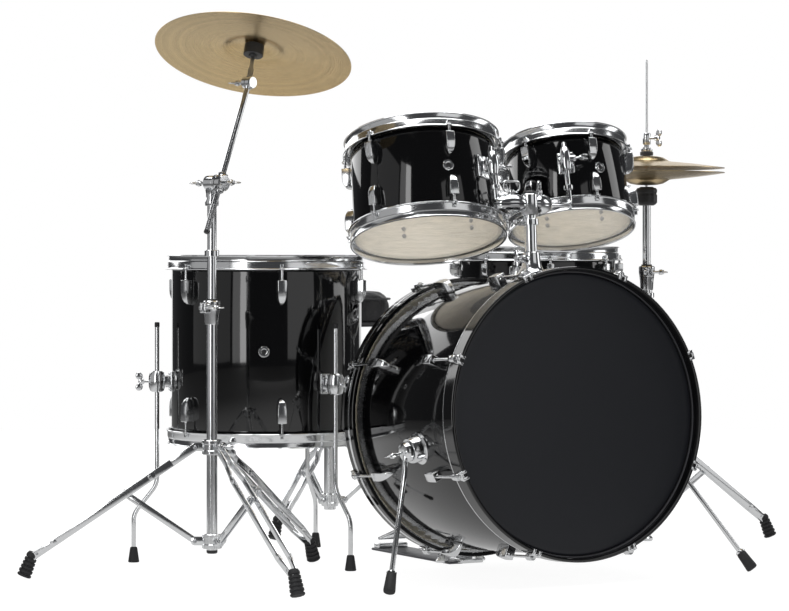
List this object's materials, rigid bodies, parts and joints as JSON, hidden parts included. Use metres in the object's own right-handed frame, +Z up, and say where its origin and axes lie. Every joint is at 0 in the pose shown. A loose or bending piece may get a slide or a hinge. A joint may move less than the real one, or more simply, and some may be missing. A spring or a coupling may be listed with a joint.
{
  "type": "acoustic drum kit",
  "caption": "Acoustic drum kit with rack toms, floor tom, snare and bass drum, crash on a boom stand, hi-hat, round throne and kick pedal, all on adjustable chromed hardware.",
  "frame": {"origin": "on the floor, under the centre of the kit's bounding box", "axes": "+X the kit's right as the audience sees it, +Y from the audience towards the drummer, +Z up"},
  "size_m": [1.8474, 1.4744, 1.137],
  "materials": {
    "black_wrap": "high-gloss black covering",
    "black_head": "satin black drum film",
    "clear_head": "translucent drum film",
    "chrome": "polished chrome plate",
    "cymbal": "lathed satin brass",
    "vinyl": "black vinyl over foam",
    "steel": "chromed steel with black rubber ends"
  },
  "bodies": {
    "kit": {"bass_drum_shell": "black_wrap", "bass_front_head": "black_head", "bass_batter_head": "clear_head", "bass_front_hoop": "black_wrap", "bass_batter_hoop": "black_wrap", "floor_tom_shell": "black_wrap", "floor_tom_batter_head": "clear_head", "floor_tom_bottom_head": "clear_head", "floor_tom_top_hoop": "chrome", "floor_tom_bottom_hoop": "chrome", "cymbal_stand_base_tube": "steel", "hihat_base": "steel", "hihat_bottom_cymbal": "cymbal", "snare_stand_base": "steel", "throne_base": "steel", "pedal_frame": "steel"},
    "tom_post": {"tom_post": "chrome"},
    "large_tom_arm": {"large_tom_arm": "chrome"},
    "large_tom": {"large_tom_shell": "black_wrap", "large_tom_batter_head": "clear_head", "large_tom_bottom_head": "clear_head", "large_tom_top_hoop": "chrome", "large_tom_bottom_hoop": "chrome"},
    "small_tom_arm": {"small_tom_arm": "chrome"},
    "small_tom": {"small_tom_shell": "black_wrap", "small_tom_batter_head": "clear_head", "small_tom_bottom_head": "clear_head", "small_tom_top_hoop": "chrome", "small_tom_bottom_hoop": "chrome"},
    "bass_spur_left": {"bass_spur_left": "steel"},
    "bass_spur_right": {"bass_spur_right": "steel"},
    "floor_tom_leg_1": {"floor_tom_leg_1": "steel"},
    "floor_tom_leg_2": {"floor_tom_leg_2": "steel"},
    "floor_tom_leg_3": {"floor_tom_leg_3": "steel"},
    "cymbal_stand_collar": {"cymbal_stand_leg_collar": "steel"},
    "cymbal_stand_leg_1": {"cymbal_stand_leg_1": "steel"},
    "cymbal_stand_brace_1": {"cymbal_stand_brace_1": "steel"},
    "cymbal_stand_leg_2": {"cymbal_stand_leg_2": "steel"},
    "cymbal_stand_brace_2": {"cymbal_stand_brace_2": "steel"},
    "cymbal_stand_leg_3": {"cymbal_stand_leg_3": "steel"},
    "cymbal_stand_brace_3": {"cymbal_stand_brace_3": "steel"},
    "cymbal_stand_upper_tube": {"cymbal_stand_upper_tube": "steel"},
    "boom_tilter": {"boom_tilter": "chrome"},
    "boom_arm": {"boom_arm": "chrome"},
    "cymbal_tilter": {"cymbal_tilter": "chrome"},
    "crash_cymbal": {"crash_cymbal": "cymbal"},
    "hihat_rod": {"hihat_rod": "chrome", "hihat_top_cymbal": "cymbal"},
    "hihat_footboard": {"hihat_footboard": "steel"},
    "snare_basket": {"snare_basket": "steel", "snare_shell": "black_wrap", "snare_batter_head": "clear_head", "snare_bottom_head": "clear_head", "snare_top_hoop": "chrome", "snare_bottom_hoop": "chrome"},
    "snare_strainer_lever": {"snare_strainer_lever": "steel"},
    "throne_post": {"throne_post": "steel"},
    "throne_seat": {"throne_seat": "vinyl"},
    "pedal_footboard": {"pedal_footboard": "steel"},
    "pedal_beater": {"pedal_beater": "steel"}
  },
  "joints": [
    {"name": "tom_post_height", "type": "slide", "parent": "kit", "child": "tom_post", "axis": [0, 0.0609, 0.9981], "range_m": [-0.02, 0.05]},
    {"name": "large_tom_tilt", "type": "hinge", "parent": "tom_post", "child": "large_tom_arm", "pos_m": [0.01697, -0.52581, 0.75716], "axis": [-0.9832, 0.1823, 0], "range_deg": [-8, 6]},
    {"name": "large_tom_height", "type": "slide", "parent": "large_tom_arm", "child": "large_tom", "axis": [0.09, 0.2999, 0.9497], "range_m": [-0.02, 0.02]},
    {"name": "small_tom_tilt", "type": "hinge", "parent": "tom_post", "child": "small_tom_arm", "pos_m": [0.01697, -0.52581, 0.75716], "axis": [0.8764, 0.4816, 0], "range_deg": [-8, 6]},
    {"name": "small_tom_height", "type": "slide", "parent": "small_tom_arm", "child": "small_tom", "axis": [0.0901, 0.3182, 0.9437], "range_m": [-0.02, 0.02]},
    {"name": "bass_spur_left_fold", "type": "hinge", "parent": "kit", "child": "bass_spur_left", "pos_m": [-0.28958, -0.55595, 0.26292], "axis": [0.9781, 0.0127, 0.2075], "range_deg": [0, 120]},
    {"name": "bass_spur_right_fold", "type": "hinge", "parent": "kit", "child": "bass_spur_right", "pos_m": [0.32352, -0.55595, 0.26292], "axis": [0.9781, -0.0127, -0.2075], "range_deg": [0, 120]},
    {"name": "floor_tom_leg_1_height", "type": "slide", "parent": "kit", "child": "floor_tom_leg_1", "axis": [0, 0, 1], "range_m": [-0.08, 0.06]},
    {"name": "floor_tom_leg_2_height", "type": "slide", "parent": "kit", "child": "floor_tom_leg_2", "axis": [0, 0, 1], "range_m": [-0.08, 0.06]},
    {"name": "floor_tom_leg_3_height", "type": "slide", "parent": "kit", "child": "floor_tom_leg_3", "axis": [0, 0, 1], "range_m": [-0.08, 0.06]},
    {"name": "cymbal_stand_fold", "type": "slide", "parent": "kit", "child": "cymbal_stand_collar", "axis": [0, 0, 1], "range_m": [0, 0.14158]},
    {"name": "cymbal_leg_1_fold", "type": "hinge", "parent": "cymbal_stand_collar", "child": "cymbal_stand_leg_1", "pos_m": [-0.55159, -0.26108, 0.266], "axis": [-0.5, 0.866, 0], "range_deg": [0, 44.01]},
    {"name": "cymbal_brace_1_fold", "type": "hinge", "parent": "kit", "child": "cymbal_stand_brace_1", "pos_m": [-0.55159, -0.26108, 0.077], "axis": [-0.5, 0.866, 0], "range_deg": [-44.01, 0]},
    {"name": "cymbal_leg_2_fold", "type": "hinge", "parent": "cymbal_stand_collar", "child": "cymbal_stand_leg_2", "pos_m": [-0.61048, -0.26108, 0.266], "axis": [-0.5, -0.866, 0], "range_deg": [0, 44.01]},
    {"name": "cymbal_brace_2_fold", "type": "hinge", "parent": "kit", "child": "cymbal_stand_brace_2", "pos_m": [-0.61048, -0.26108, 0.077], "axis": [-0.5, -0.866, 0], "range_deg": [-44.01, 0]},
    {"name": "cymbal_leg_3_fold", "type": "hinge", "parent": "cymbal_stand_collar", "child": "cymbal_stand_leg_3", "pos_m": [-0.58103, -0.31208, 0.266], "axis": [1, 0, 0], "range_deg": [0, 44.01]},
    {"name": "cymbal_brace_3_fold", "type": "hinge", "parent": "kit", "child": "cymbal_stand_brace_3", "pos_m": [-0.58103, -0.31208, 0.077], "axis": [1, 0, 0], "range_deg": [-44.01, 0]},
    {"name": "cymbal_stand_height", "type": "slide", "parent": "kit", "child": "cymbal_stand_upper_tube", "axis": [0, 0, 1], "range_m": [-0.08, 0.1]},
    {"name": "boom_tilt", "type": "hinge", "parent": "cymbal_stand_upper_tube", "child": "boom_tilter", "pos_m": [-0.58103, -0.27808, 0.798], "axis": [0.3475, -0.9377, 0], "range_deg": [-10, 60]},
    {"name": "boom_reach", "type": "slide", "parent": "boom_tilter", "child": "boom_arm", "axis": [0.3949, 0.2553, 0.8825], "range_m": [-0.05, 0.08]},
    {"name": "cymbal_tilt", "type": "hinge", "parent": "boom_arm", "child": "cymbal_tilter", "pos_m": [-0.47996, -0.24062, 1.00526], "axis": [0.3475, -0.9377, 0], "range_deg": [-30, 30]},
    {"name": "crash_spin", "type": "hinge", "parent": "cymbal_tilter", "child": "crash_cymbal", "pos_m": [-0.46303, -0.22568, 1.063], "axis": [0.273, 0.241, 0.9314], "continuous": true},
    {"name": "hihat_pull", "type": "slide", "parent": "kit", "child": "hihat_rod", "axis": [0, 0, 1], "range_m": [-0.008, 0], "stiffness_N_per_m": 900, "springref_m": 0.05},
    {"name": "hihat_footboard_press", "type": "hinge", "parent": "kit", "child": "hihat_footboard", "pos_m": [0.38732, 0.14187, 0.016], "axis": [0.6428, 0.766, 0], "range_deg": [0, 2]},
    {"name": "snare_height", "type": "slide", "parent": "kit", "child": "snare_basket", "axis": [0, 0, 1], "range_m": [-0.06, 0.05]},
    {"name": "snare_strainer_throw", "type": "hinge", "parent": "snare_basket", "child": "snare_strainer_lever", "pos_m": [0.22493, -0.13172, 0.5775], "axis": [0.7071, -0.7071, 0], "range_deg": [0, 70]},
    {"name": "throne_height", "type": "slide", "parent": "kit", "child": "throne_post", "axis": [0, 0, 1], "range_m": [-0.05, 0.12]},
    {"name": "throne_seat_spin", "type": "hinge", "parent": "throne_post", "child": "throne_seat", "pos_m": [0.08697, 0.48332, 0.5], "axis": [0, 0, 1], "continuous": true},
    {"name": "kick_footboard_press", "type": "hinge", "parent": "kit", "child": "pedal_footboard", "pos_m": [0.01697, 0.05332, 0.024], "axis": [1, 0, 0], "range_deg": [0, 14]},
    {"name": "kick_beater_swing", "type": "hinge", "parent": "kit", "child": "pedal_beater", "pos_m": [0.01697, -0.24668, 0.182], "axis": [1, 0, 0], "range_deg": [0, 42.01], "stiffness_Nm_per_rad": 1.5, "springref_deg": -34.38}
  ],
  "couplings": [
    {"joint": "cymbal_leg_1_fold", "follows": "cymbal_stand_fold", "rad_per_m": 5.4238},
    {"joint": "cymbal_brace_1_fold", "follows": "cymbal_stand_fold", "rad_per_m": -5.4238},
    {"joint": "cymbal_leg_2_fold", "follows": "cymbal_stand_fold", "rad_per_m": 5.4238},
    {"joint": "cymbal_brace_2_fold", "follows": "cymbal_stand_fold", "rad_per_m": -5.4238},
    {"joint": "cymbal_leg_3_fold", "follows": "cymbal_stand_fold", "rad_per_m": 5.4238},
    {"joint": "cymbal_brace_3_fold", "follows": "cymbal_stand_fold", "rad_per_m": -5.4238},
    {"joint": "hihat_footboard_press", "follows": "hihat_pull", "rad_per_m": -4.1152},
    {"joint": "kick_beater_swing", "follows": "kick_footboard_press", "ratio": 3}
  ]
}
